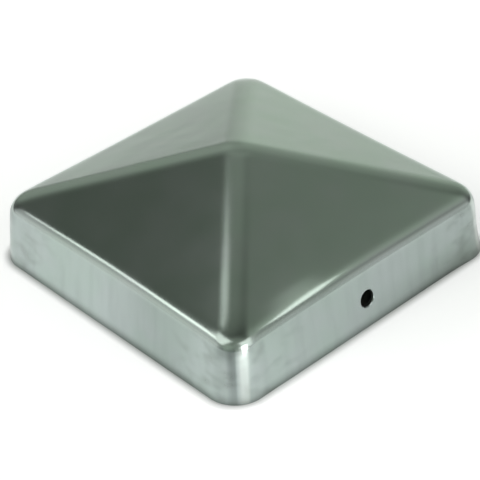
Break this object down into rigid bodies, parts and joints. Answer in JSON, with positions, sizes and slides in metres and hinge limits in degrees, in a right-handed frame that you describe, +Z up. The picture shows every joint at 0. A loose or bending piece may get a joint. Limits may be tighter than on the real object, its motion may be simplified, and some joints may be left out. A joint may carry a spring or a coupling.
{
  "type": "post cap",
  "caption": "Square pyramid cap pressed from stainless sheet, with a flared skirt and opposed screw holes, that covers the top of a square timber post.",
  "frame": {"origin": "middle of the square rim, on the plane that the rim stands on", "axes": "+Z up through the apex of the pyramid; +X and -X through the two screw holes; +Y and -Y through the two plain skirt walls"},
  "size_m": [0.093, 0.093, 0.0329],
  "materials": {
    "stainless_sheet": "satin"
  },
  "bodies": {
    "root": {"post_cap": "stainless_sheet"}
  },
  "joints": []
}
